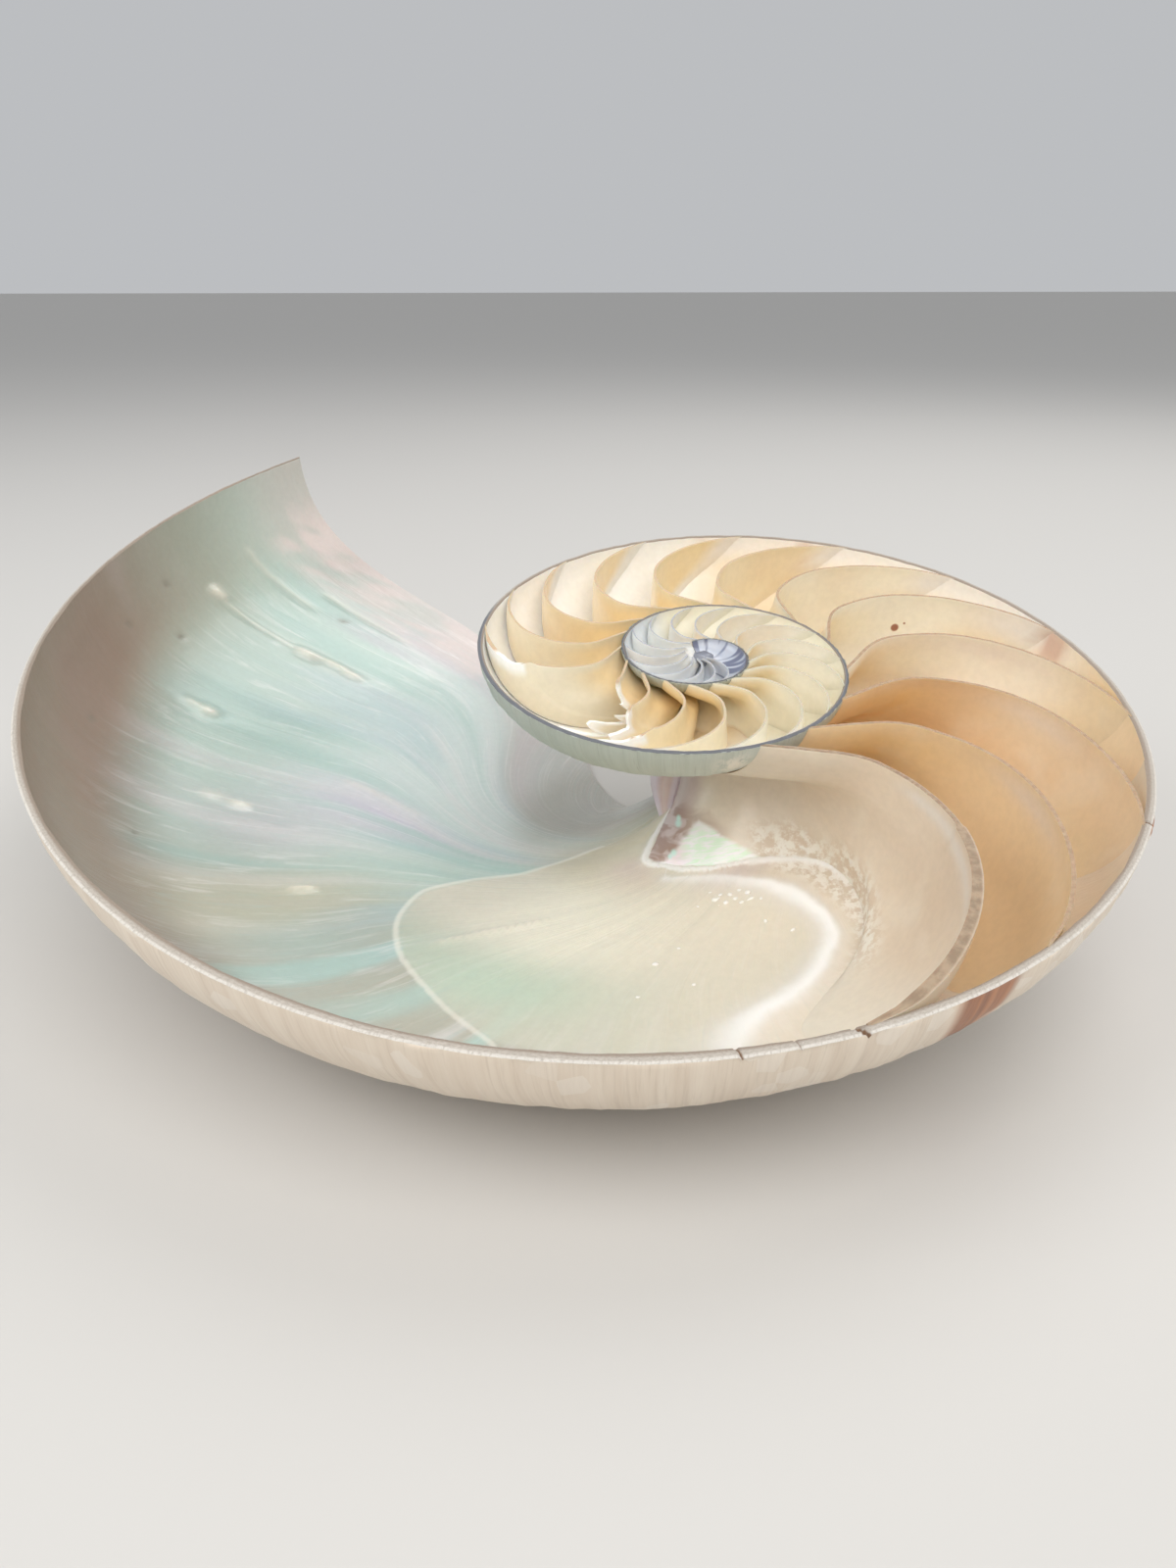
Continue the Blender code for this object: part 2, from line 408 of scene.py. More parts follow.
# Green glints beside the pearl fan: millimetres along, millimetres up, radius.
PEARL_GLINTS = [(5.4, 4.8, 0.8), (5.5, 5.5, 0.6), (4.5, 1.1, 0.7), (3.9, 0.7, 0.5)]
# The column from the sawn plane (0) down into the navel (1): how far its top is sunk and its foot
# stops short, its radius, and how far it bends off the axis.
COLUMN_SUNK, COLUMN_SHORT = 0.0005, 0.0022
COLUMN_RADIUS = curve([
    (0, 0.0013), (0.3, 0.0019), (0.46, 0.0022), (0.6, 0.0032), (0.78, 0.0034), (0.9, 0.0023),
    (1, 0.0011),
])
COLUMN_X = curve([(0, 0), (0.46, 0.0005), (0.74, 0.0019), (0.86, 0.0013), (1, -0.001)])
COLUMN_Y = curve([(0, 0), (0.46, 0.0005), (0.74, 0.0021), (0.86, 0.0036), (1, 0.0064)])


# ---------------------------------------------------------------- finishes


class Finish:
    """A material whose pattern follows the shell's growth."""

    def __init__(self, name):
        self.material = bpy.data.materials.new(name)
        self.material.use_nodes = True
        self.tree = self.material.node_tree
        self.shader = self.tree.nodes["Principled BSDF"]

    def node(self, kind, inputs, output=0, **settings):
        made = self.tree.nodes.new("ShaderNode" + kind)
        for key, value in settings.items():
            setattr(made, key, value)
        for key, value in inputs.items():
            socket = made.inputs[key]
            if isinstance(value, bpy.types.NodeSocket):
                self.tree.links.new(value, socket)
            else:
                socket.default_value = value
        return made.outputs[output]

    def mark(self, name):
        return self.node("Attribute", {}, "Fac", attribute_name=name)

    def place(self):
        return self.node("TexCoord", {}, "Object")

    def math(self, operation, a, b=0.0):
        return self.node("Math", {0: a, 1: b}, operation=operation)

    def times(self, a, b):
        return self.math("MULTIPLY", a, b)

    def plus(self, a, b):
        return self.math("ADD", a, b)

    def less(self, a, b):
        return self.math("SUBTRACT", a, b)

    def size(self, a):
        return self.math("ABSOLUTE", a)

    def axes(self, x, y, z=0.0):
        return self.node("CombineXYZ", {0: x, 1: y, 2: z})

    def noise(self, where, scale, detail=3.0, rough=0.5, warp=0.0):
        inputs = {"Vector": where, "Scale": scale, "Detail": detail}
        return self.node("TexNoise", inputs | {"Roughness": rough, "Distortion": warp})

    def grain(self, a, a_scale, b, b_scale, detail, rough=0.5, warp=0.0):
        """Noise stretched along two growth marks."""
        where = self.axes(self.times(a, a_scale), self.times(b, b_scale))
        return self.noise(where, 1.0, detail, rough, warp)

    def away(self, where, spot):
        return self.node("VectorMath", {0: where, 1: spot}, "Value", operation="DISTANCE")

    def between(self, value, low, high, out_low=0.0, out_high=1.0):
        inputs = {0: value, 1: low, 2: high, 3: out_low, 4: out_high}
        return self.node("MapRange", inputs, interpolation_type="SMOOTHSTEP")

    def mix(self, share, a, b, blend="MIX"):
        return self.node("Mix", {0: share, 6: a, 7: b}, 2, data_type="RGBA", blend_type=blend)

    def blend(self, value, low, high, first, second):
        """A colour that runs from the first to the second as the value does from low to high."""
        return self.mix(self.between(value, low, high), tint(*first), tint(*second))

    def over(self, under, share, *colour):
        return self.mix(share, under, tint(*colour))

    def bump(self, height, distance, strength):
        return self.node("Bump", {"Height": height, "Distance": distance, "Strength": strength})

    def set(self, **values):
        for key, value in values.items():
            socket = self.shader.inputs[key.replace("_", " ")]
            if isinstance(value, bpy.types.NodeSocket):
                self.tree.links.new(value, socket)
            else:
                socket.default_value = value
        return self.material


def tint(r, g, b):
    """A colour given as it looks on screen, from 0 to 255."""
    return tuple(((c / 255) ** 2.2) for c in (r, g, b)) + (1,)


def linear(r, g, b):
    return np.array(tint(r, g, b)[:3])


def plain(count, *colour):
    return np.tile(linear(*colour), (count, 1))


def coats(tone, *layers):
    """Lays colours over a tone in turn. Each layer is red, green, blue and its share."""
    for *colour, share in layers:
        tone = tone + (linear(*colour) - tone) * np.clip(share, 0, 1)[:, None]
    return tone


def bell(x, at, wide):
    return np.exp(-(((x - at) / wide) ** 2))


def blister(line, side, at, first, last, wide):
    ends = smooth((side - first + 0.012) / 0.02) * smooth((last + 0.012 - side) / 0.02)
    return ends, bell(line, at, wide)


def pit(line, side, at, where):
    gap = np.hypot((line - at) * 2.4, (side - where) * 190)
    return np.exp(-(gap**2))


def living_tint(line, side, back):
    """The living chamber's nacre: mint and lilac along old lip lines, warm by the septum."""
    streak = waves(41, line * 0.42, side * 4) + 0.4 * waves(42, line * 1.3, side * 7)
    pinkish = waves(43, line * 0.3, side * 5) + 0.3 * waves(44, line * 1.1, side * 9)
    aqua = waves(46, line * 0.22, side * 6) + 0.4 * waves(47, line * 0.8, side * 11)
    low = 1 - 0.8 * rise(line, 40, 15) * fall(side, 0.55, 0.15)
    golden = waves(45, line * 0.25, side * 6)
    under = smooth((back - np.degrees(LAYER(side))) / 1.2) * rise(side, 0.375, 0.02)
    toward = rise(back, 100, 40)
    behind_band = smooth((back - np.degrees(BAND(side))) / 3) * rise(back, 130, 10)
    # Tan on the wall under the rim: partly the nacre's own pinkish brown, partly painted shade.
    tan_and_shade_rim = smooth((0.27 + 0.05 * rise(line, 25, 25) - side) / 0.16)
    tan_and_shade_rim = tan_and_shade_rim * (0.35 + 0.65 * rise(line, 12, 25)) * fall(back, 135, 30)
    blotch = waves(48, line * 0.5, side * 30) + 0.6 * waves(49, line * 1.2, side * 70)
    lip_strip = fall(line, 9, 4) * rise(side, 0.05, 0.1) * fall(side, 0.6, 0.12)
    # Painted shade on the floor beside the column, under the older coil.
    shade_beside_column = rise(side, 0.72, 0.08) * fall(side, 0.93, 0.04)
    lilac_grey = bell(side, 0.742, 0.03) * bell(back, 150, 14)
    middle = fall(side, 0.5, 0.15) * rise(line, 12, 12)
    middle = middle * fall(line, 78, 12) * rise(side, 0.17, 0.1)
    tone = coats(
        plain(len(line), 206, 226, 214),
        (196, 220, 208, bell(line, 28, 16) * bell(side, 0.27, 0.16)),
        # Painted shade: darker green-grey on the steep wall just under the rim.
        (172, 184, 166, 0.8 * fall(side, 0.3, 0.16) * rise(line, 6, 12)),
        (222, 234, 230, 0.9 * rise(side, 0.32, 0.2) * fall(line, 60, 30)),
        (184, 178, 160, 0.9 * rise(line, 52, 26) * fall(side, 0.64, 0.2)),
        (188, 208, 196, 0.7 * bell(line, 78, 9) * bell(side, 0.4, 0.1)),
        (214, 205, 222, 0.8 * bell(line, 45, 7) * bell(side, 0.56, 0.12)),
        (210, 198, 208, 0.5 * bell(line, 54, 6) * bell(side, 0.42, 0.1)),
        (182, 214, 204, 0.75 * rise(streak, 0.1, 0.8) * rise(side, 0.1, 0.15)),
        (236, 234, 232, 0.55 * smooth((-streak - 0.15) / 0.8)),
        (214, 200, 214, 0.7 * rise(pinkish, 0.3, 0.7) * rise(side, 0.25, 0.15)),
        (188, 212, 216, 0.45 * low * rise(aqua, 0.25, 0.7) * rise(side, 0.2, 0.15)),
        (226, 216, 184, 0.45 * rise(golden, 0.35, 0.7) * rise(line, 25, 20)),
        (208, 210, 190, 0.75 * under),
        (236, 229, 210, 0.9 * under * rise(side, 0.5, 0.1)),
        (196, 214, 192, 0.8 * under * bell(side, 0.5, 0.055) * bell(back, 100, 20)),
        (230, 204, 190, 0.5 * under * bell(side, 0.78, 0.05) * bell(back, 112, 12)),
        (222, 212, 193, 0.85 * toward * (0.4 + 0.6 * rise(side, 0.2, 0.3))),
        (232, 219, 200, 0.9 * behind_band),
        # Tan under the rim, partly painted shade.
        (140, 116, 98, 0.95 * tan_and_shade_rim),
        (206, 200, 192, 0.75 * fall(line, 11, 9)),
        (232, 214, 208, 0.7 * lip_strip * smooth((blotch + 0.3) / 0.8)),
        # Painted shade beside the column, under the older coil.
        (172, 168, 152, 0.6 * shade_beside_column * fall(back, 70, 25)),
        (212, 202, 174, 0.75 * rise(side, 0.7, 0.1) * bell(back, 84, 24)),
        (212, 196, 190, 0.7 * lilac_grey),
        (224, 206, 198, 0.6 * bell(side, 0.8, 0.03) * bell(back, 104, 10)),
    )
    tone = tone * (1 - 0.2 * fall(back, 100, 30) * rise(side, 0.15, 0.1))[:, None]
    tone = tone * (1 - 0.11 * middle)[:, None]
    raised = 0
    for *shape, tall in BLISTERS:
        ends, swell = blister(line, side, *shape)
        raised = raised + ends * swell * min(tall * 1.4, 1)
    tone = coats(tone, (238, 230, 212, 0.65 * raised))
    # Painted shade: each small pit darkened in its hollow.
    for centre in PITS:
        tone = coats(tone, (120, 112, 98, 0.7 * pit(line, side, *centre)))
    return tone


def gas_tint(back, side):
    """The walls of the gas chambers, whorl by whorl."""
    tone = coats(
        plain(len(back), 246, 222, 184),
        (236, 206, 172, 0.6 * fall(side, 0.2, 0.1) * fall(back, 215, 20)),
        (252, 244, 234, fall(side, 0.16, 0.12) * rise(back, 215, 25)),
        (253, 251, 246, rise(back, 300, 25) * fall(side, 0.7, 0.3)),
    )
    stripe = waves(51, back * 0.28, side * 2) * rise(back, 215, 20) * fall(back, 340, 20)
    tone = coats(
        tone,
        (208, 164, 140, 0.7 * rise(stripe, 0.45, 0.35) * fall(side, 0.14, 0.08)),
        (250, 248, 240, 0.9 * bell(back, 452, 36) * fall(side, 0.7, 0.3)),
        (244, 236, 212, rise(back, 520, 25)),
        (222, 226, 228, rise(back, 690, 30)),
        (192, 196, 206, rise(back, 880, 20)),
    )
    gleam = waves(52, back * 0.35, side * 3)
    return coats(tone, (112, 118, 140, rise(back, 880, 25) * smooth((gleam + 0.35) / 0.6)))


# The septa's colours, youngest first: number, then colour. Those between are blended.
SEPTUM_SHADES = [
    (0, (228, 206, 180)),
    (1, (243, 212, 170)),
    (2, (225, 189, 147)),
    (3, (250, 238, 218)),
    (4, (255, 249, 232)),
    (5, (255, 246, 226)),
    (7, (250, 228, 186)),
    (9, (242, 215, 172)),
    (11, (237, 225, 200)),
    (12, (238, 227, 204)),
    (14, (250, 228, 188)),
    (16, (254, 245, 220)),
    (21, (254, 249, 238)),
    (25, (232, 232, 226)),
    (32, (210, 213, 220)),
]


def septum_colour(number):
    at = [n for n, _ in SEPTUM_SHADES]
    return [float(np.interp(number, at, [c[i] for _, c in SEPTUM_SHADES])) for i in range(3)]


def last_septum_tint(u, side):
    return coats(
        plain(len(u), 232, 212, 189),
        (214, 188, 160, 0.6 * bell(u, 0.7, 0.18) * fall(side, 0.5, 0.3)),
        (232, 219, 200, 0.9 * rise(u, 0.84, 0.12)),
        (214, 202, 184, 0.7 * fall(u, 0.3, 0.25)),
        # Painted light: paler from halfway down, lifting the shade under the older coil.
        (236, 224, 208, 0.6 * rise(side, 0.5, 0.2)),
        (206, 184, 182, 0.85 * rise(side, 0.84, 0.05)),
        (236, 220, 198, 0.5 * bell(side, 0.58, 0.12) * rise(u, 0.5, 0.3)),
        (236, 230, 224, 0.55 * bell(side, 0.05, 0.03) * rise(u, 0.3, 0.15) * fall(u, 0.9, 0.15)),
    )


def septum_tint(number, u, side, back, points):
    if number == 0:
        return last_septum_tint(u, side)
    tone = plain(len(u), *septum_colour(number))
    # Painted sheen: a gold glow over each septum's face, greyer on the oldest, strongest near the
    # older coil.
    glow = bell(u, 0.2, 0.2) * smooth(side / 0.12)
    warm = (250, 206, 130) if number < 24 else (214, 206, 190)
    tone = coats(tone, (*warm, 0.45 * glow))
    pale_top = 0.45 if number < 5 else 0.15
    tone = coats(
        tone,
        (252, 240, 214, pale_top * bell(u, 0.75, 0.25) * fall(side, 0.3, 0.25) * (number > 1)),
        # Painted highlight: a bright patch high in the middle of the septa numbered 3 to 6.
        (255, 244, 214, 0.6 * bell(u, 0.42, 0.2) * bell(side, 0.16, 0.1) * (2 < number < 7)),
        # Painted highlight along the top edge of the septa numbered 1 to 3.
        (240, 224, 210, 0.6 * bell(side, 0.045, 0.035) * bell(u, 0.7, 0.14) * (0 < number < 4)),
    )
    cloud = waves(60 + number, points[:, 0] * 180, points[:, 1] * 180, points[:, 2] * 180)
    tone = coats(tone, (228, 184, 136, 0.2 * smooth(cloud)))
    on_wall = gas_tint(np.degrees(back), side)
    foot = 0.78 if number < 5 else 0.93
    tone = tone + (on_wall - tone) * (smooth((u - foot) / (1 - foot)) * (number > 1))[:, None]
    gone = broken_edge(number, u)
    return coats(tone, (255, 253, 248, smooth((0.09 - (side - gone)) / 0.07) * (gone > CHIPPED)))


def painted(f, speckle):
    """The painted tint, broken up by a fine grain."""
    grain = f.noise(f.place(), 900, 3, 0.6)
    shade = f.between(grain, 0.3, 0.7, 1 - speckle, 1)
    tone = f.node("Attribute", {}, "Color", attribute_name="tint")
    return f.mix(1, tone, f.axes(shade, shade, shade), "MULTIPLY"), grain


def living_nacre():
    f = Finish("living_chamber_nacre")
    line, side = f.mark("line"), f.mark("side")
    colour, grain = painted(f, 0.04)
    fine = f.grain(line, 45, side, 7, 5, 0.6, 1.2)
    inland = f.times(f.between(side, 0.12, 0.3), f.between(f.mark("layer"), 0, 0.004, 1, 0.35))
    pale = f.times(f.between(fine, 0.5, 0.75, 0, 0.3), inland)
    colour = f.over(colour, pale, 244, 240, 238)
    deep = f.times(f.between(fine, 0.3, 0.45, 0.25, 0), inland)
    colour = f.over(colour, deep, 168, 192, 186)
    layer = f.between(f.size(f.mark("layer")), 0.0001, 0.0007, 0.5, 0)
    colour = f.over(colour, layer, 246, 242, 228)
    patches = f.noise(f.place(), 260, 3, 0.6)
    wobble = f.times(f.less(patches, 0.5), 0.0013)
    signed = f.plus(f.mark("band"), wobble)
    signed = f.times(signed, f.between(f.mark("band"), -0.0001, 0.0001, 0.75, 1.35))
    band = f.math("DIVIDE", f.size(signed), f.mark("reach"))
    haze = f.times(f.between(band, 0, 1.25, 0.55, 0), f.mark("glow"))
    colour = f.over(colour, haze, 232, 230, 228)
    core = f.times(f.between(band, 0, 0.6, 0.95, 0), f.mark("glow"))
    colour = f.over(colour, core, 252, 250, 247)
    flecks = f.noise(f.place(), 800, 3, 0.65)
    pitted = f.times(f.between(f.mark("band"), 0.0015, 0.004), f.between(side, 0.42, 0.5))
    pitted = f.times(pitted, f.between(side, 0.74, 0.69))
    fleck_tone = f.blend(flecks, 0.42, 0.58, (206, 186, 164), (246, 241, 232))
    colour = f.mix(f.times(pitted, 0.6), colour, fleck_tone)
    suture = f.size(f.plus(f.mark("suture"), wobble))
    ridge = f.times(f.between(suture, 0.0002, 0.0009, 1, 0), f.between(side, 0.57, 0.63))
    colour = f.over(colour, ridge, 252, 248, 242)
    height = f.plus(f.times(fine, 0.7), f.times(grain, 0.12))
    height = f.plus(height, f.times(flecks, f.times(pitted, 1.2)))
    chalk = f.math("MAXIMUM", ridge, f.math("MAXIMUM", core, pitted))
    return f.set(
        Base_Color=colour,
        Roughness=f.between(chalk, 0, 1, 0.3, 0.65),
        Coat_Weight=f.between(chalk, 0, 1, 0.4, 0),
        Coat_Roughness=0.15,
        Subsurface_Weight=0.06,
        Subsurface_Scale=0.002,
        Normal=f.bump(height, 0.0004, 0.35),
    )


def pearl_corner(f, colour):
    """Pearl beside the column, by millimetres along and up: a dusky fold, then a bright fan of
    painted iridescent sheen.
    """
    along, up = f.mark("pearl_along"), f.mark("pearl_up")
    play = f.grain(along, 0.35, up, 0.6, 2, 0.5, 0.8)
    ragged = f.times(f.less(play, 0.5), 3)
    top = f.plus(f.less(8.2, f.times(f.size(f.less(along, 5.5)), 0.62)), ragged)
    dusky = f.times(f.between(f.less(top, up), -1.2, 1.2), f.between(along, 13.5, 10))
    near_suture = f.between(f.mark("side"), 0.68, 0.72)
    dusky = f.times(dusky, near_suture)
    dusk_tone = f.blend(play, 0.4, 0.6, (156, 120, 108), (206, 186, 184))
    dusk_tone = f.mix(f.between(along, 5, 9.5), dusk_tone, tint(196, 176, 160))
    colour = f.mix(f.times(dusky, 0.8), colour, dusk_tone)
    # The fan is painted sheen: bright white-green iridescence.
    fan = f.less(f.less(5.2, f.times(f.size(f.less(along, 8.6)), 0.85)), up)
    fan = f.times(f.between(f.plus(fan, f.times(ragged, 0.5)), -0.2, 0.9), near_suture)
    rays = f.grain(along, 0.5, up, 2.2, 2, 0.5, 0.6)
    sheen_fan_tone = f.blend(rays, 0.36, 0.68, (228, 250, 222), (255, 252, 250))
    sheen_fan_tone = f.mix(f.between(along, 7.4, 4.6, 0, 0.8), sheen_fan_tone, tint(248, 222, 226))
    sheen_fan_tone = f.mix(f.between(up, 2.4, 4.4, 0, 0.7), sheen_fan_tone, tint(250, 238, 238))
    colour = f.mix(f.times(fan, 0.95), colour, sheen_fan_tone)
    for at, high, wide in PEARL_GLINTS:
        gap = f.away(f.axes(along, up), (at, high, 0))
        colour = f.over(colour, f.between(gap, wide * 0.2, wide, 0.8, 0), 206, 244, 230)
    return colour


def gas_nacre(name, last=False):
    f = Finish(name)
    colour, grain = painted(f, 0.05)
    where = f.place()
    cloud = f.noise(where, 120, 4, 0.5, 0.4)
    colour = f.over(colour, f.between(cloud, 0.5, 0.75, 0, 0.2), 252, 244, 226)
    for *speck, size in SPECKS:
        gap = f.away(where, LIE @ Vector(spot(*speck)))
        colour = f.over(colour, f.between(gap, size * 0.0006, size * MM, 0.9, 0), 146, 84, 58)
    height = f.plus(f.times(cloud, 0.8), f.times(grain, 0.1))
    rough = 0.32
    if last:
        around, suture = f.mark("around"), f.mark("suture")
        patches = f.noise(where, 260, 3, 0.6)
        wobble = f.times(f.less(patches, 0.5), 0.0018)
        edge = f.plus(suture, wobble)
        old_muscle = f.times(f.between(around, 2.7, 2.84), f.between(edge, 0.003, 0.0066, 1, 0))
        old_muscle = f.times(old_muscle, f.between(around, 3.1, 3.05))
        flecks = f.noise(where, 700, 3, 0.7)
        fleck_tone = f.blend(flecks, 0.42, 0.6, (212, 190, 166), (246, 240, 228))
        colour = f.mix(f.times(old_muscle, 0.7), colour, fleck_tone)
        colour = pearl_corner(f, colour)
        ridge = f.between(edge, 0.0002, 0.0008, 1, 0)
        ridge = f.times(ridge, f.between(f.mark("side"), 0.57, 0.63))
        colour = f.over(colour, ridge, 252, 248, 240)
        height = f.plus(height, f.times(f.times(flecks, old_muscle), 1.5))
        rough = f.between(old_muscle, 0, 1, 0.32, 0.6)
    return f.set(
        Base_Color=colour,
        Roughness=rough,
        Coat_Weight=0.35,
        Coat_Roughness=0.18,
        Subsurface_Weight=0.15,
        Subsurface_Radius=(1, 0.6, 0.35),
        Subsurface_Scale=0.002,
        Normal=f.bump(height, 0.0003, 0.4),
    )


def porcelain():
    f = Finish("outer_porcelain")
    back, side = f.mark("back"), f.mark("side")
    growth = f.grain(back, 40, side, 2, 4, 0.6)
    colour = f.blend(growth, 0.3, 0.7, (223, 206, 186), (234, 220, 201))
    fine = f.grain(back, 170, side, 5, 3, 0.6, 0.4)
    colour = f.over(colour, f.between(fine, 0.5, 0.68, 0, 0.3), 196, 178, 158)
    # Painted light: the porcelain paler towards the lip, where the outside is lit from the left.
    colour = f.over(colour, f.between(back, 1.35, 0.6, 0, 0.95), 255, 249, 240)
    uneven = f.times(f.less(growth, 0.5), 0.5)
    flames = f.between(f.plus(f.mark("flames"), uneven), 0.05, 0.95, 0, 0.92)
    brown = f.blend(growth, 0.35, 0.65, (136, 76, 40), (178, 112, 66))
    colour = f.mix(flames, colour, brown)
    inner_whorl = f.between(back, 5.9, 6.1)
    greenish = f.blend(growth, 0.35, 0.65, (184, 190, 180), (191, 197, 187))
    colour = f.mix(inner_whorl, colour, greenish)
    lines = f.grain(back, 160, side, 3, 2, 0.5, 0.5)
    hairline = f.times(f.between(lines, 0.66, 0.7, 0, 0.45), inner_whorl)
    colour = f.over(colour, hairline, 140, 142, 134)
    chalky = f.noise(f.place(), 500, 4, 0.65)
    patch = f.times(f.between(chalky, 0.45, 0.55), f.mark("chalk"))
    colour = f.over(colour, patch, 232, 226, 214)
    colour = f.over(colour, f.between(f.mark("crack"), 0.3, 0.6, 0, 0.6), 136, 108, 84)
    where = f.axes(f.times(back, 30), f.times(side, 22))
    flakes = f.node("TexVoronoi", {"Vector": where, "Scale": 1}, "Color")
    flake = f.between(f.node("SeparateColor", {0: flakes}), 0.88, 0.92)
    flake = f.times(flake, f.between(back, 5.9, 5.6))
    colour = f.over(colour, f.times(flake, 0.35), 244, 236, 224)
    height = f.plus(growth, f.plus(f.times(fine, 0.25), f.times(flake, 0.35)))
    return f.set(
        Base_Color=colour,
        Roughness=0.45,
        Coat_Weight=0.15,
        Coat_Roughness=0.3,
        Normal=f.bump(height, 0.0005, 0.4),
    )


def sawn_edge():
    f = Finish("sawn_edge")
    back, skin = f.mark("back"), f.mark("skin")
    grain = f.noise(f.axes(f.times(back, 90), f.times(skin, 3)), 2, 4, 0.65)
    colour = f.blend(grain, 0.3, 0.7, (176, 166, 154), (200, 191, 180))
    colour = f.over(colour, f.between(skin, 0.55, 0.2, 0, 0.75), 146, 128, 112)
    spots = f.grain(back, 260, skin, 2, 3, 0.6)
    outer_line = f.times(f.between(skin, 0.68, 0.86, 0, 0.9), f.between(spots, 0.3, 0.55, 0.25, 1))
    colour = f.over(colour, outer_line, 226, 220, 211)
    dark_line = f.times(f.between(skin, 0.2, 0.5), f.between(back, 6.55, 6.8))
    colour = f.over(colour, f.times(dark_line, 0.92), 106, 110, 118)
    colour = f.over(colour, f.between(f.mark("crack"), 0.15, 0.4), 128, 98, 74)
    return f.set(Base_Color=colour, Roughness=0.6, Normal=f.bump(grain, 0.0004, 0.6))


def septum_edge():
    f = Finish("septum_edge")
    back = f.mark("back")
    grain = f.noise(f.place(), 1500, 3, 0.6)
    whole = f.blend(grain, 0.3, 0.7, (154, 127, 98), (172, 146, 116))
    across = f.noise(f.axes(f.times(f.mark("out"), 60), f.mark("skin")), 1, 3, 0.6)
    young = f.blend(across, 0.35, 0.65, (136, 114, 90), (162, 140, 114))
    young = f.mix(f.between(f.mark("skin"), 0.75, 1, 0, 0.6), young, tint(196, 178, 156))
    whole = f.mix(f.between(back, 3.2, 3.1), whole, young)
    whole = f.mix(f.between(back, 4.6, 5.6), whole, tint(198, 174, 142))
    whole = f.mix(f.between(back, 8.2, 9.4), whole, tint(188, 180, 158))
    whole = f.mix(f.between(back, 10.5, 12.5), whole, tint(164, 168, 174))
    colour = f.mix(f.mark("worn"), whole, tint(250, 248, 240))
    return f.set(Base_Color=colour, Roughness=0.5, Subsurface_Weight=0.2, Subsurface_Scale=0.002)


LIVING = living_nacre()
GAS = gas_nacre("gas_chamber_nacre")
SEPTAL = gas_nacre("septum_nacre")
LAST_SEPTAL = gas_nacre("last_septum_nacre", last=True)
SEPTUM_EDGE = septum_edge()
PORCELAIN = porcelain()
SAWN = sawn_edge()


# ---------------------------------------------------------------- pieces


def lip_lead(side, back):
    fade = np.clip(1 - back / LEAD_FADE, 0, 1)
    return LIP_LEAD * np.sin(pi * side**LIP_CURVE) ** 2 * fade**2


def lip_line(side, unled):
    """The growth line through a place, in degrees. It sweeps back near the column."""
    sweep = np.minimum((np.clip(side - 0.48, 0, 1) / 0.25) ** 2, 2.5)
    return np.degrees(unled) - 26 * sweep


# Heights of the features on the living chamber's nacre, in metres, and the sides that the suture is
# measured over.
PIT_DEPTH = 0.00025
SUTURE_RIDGE = 0.0005
BAND_RIDGE = 0.00022
LAYER_STEP = 0.00012
LAYER_RIDGE = 0.00015
SUTURE_SPAN = (0.2, 1)


def relief(line, side, back, points):
    """Height of the living chamber's nacre over its even surface, in metres."""
    height = 0.00007 * waves(21, line * 0.5, side * 6) + 0.00003 * waves(22, line * 1.6, side * 5)
    height += 0.00012 * waves(23, line * 0.12, side * 9)
    for *shape, tall in BLISTERS:
        ends, swell = blister(line, side, *shape)
        height += tall * MM * ends * swell
    for centre in PITS:
        height -= PIT_DEPTH * pit(line, side, *centre)
    suture = line_gap(points, SUTURE_SPAN, SUTURE, back > SUTURE(side))
    band = line_gap(points, (0.386, 0.772), BAND, back > BAND(side))
    height += SUTURE_RIDGE * bell(suture, 0, 0.0007) * rise(side, 0.5, 0.08)
    height += BAND_RIDGE * bell(band, 0, 0.0014)
    layer = line_gap(points, (0.37, 0.84), LAYER, back > LAYER(side))
    height += LAYER_STEP * smooth((back - LAYER(side)) / 0.02) * rise(side, 0.38, 0.05)
    height += LAYER_RIDGE * bell(layer, 0, 0.0005)
    return height, suture, band, layer


def flame(back, side):
    wavy = back + 1.2 * waves(91, back * 0.15, side * 14) - 16 * np.clip(side - 0.2, 0, 1)
    total = 0
    for at, half, down in FLAMES:
        narrowing = half * (0.35 + 0.65 * smooth((down - side) / down)) + 0.01
        total = total + smooth(1.7 - np.abs(wavy - at) / narrowing) * smooth((down - side) / 0.12)
    return total


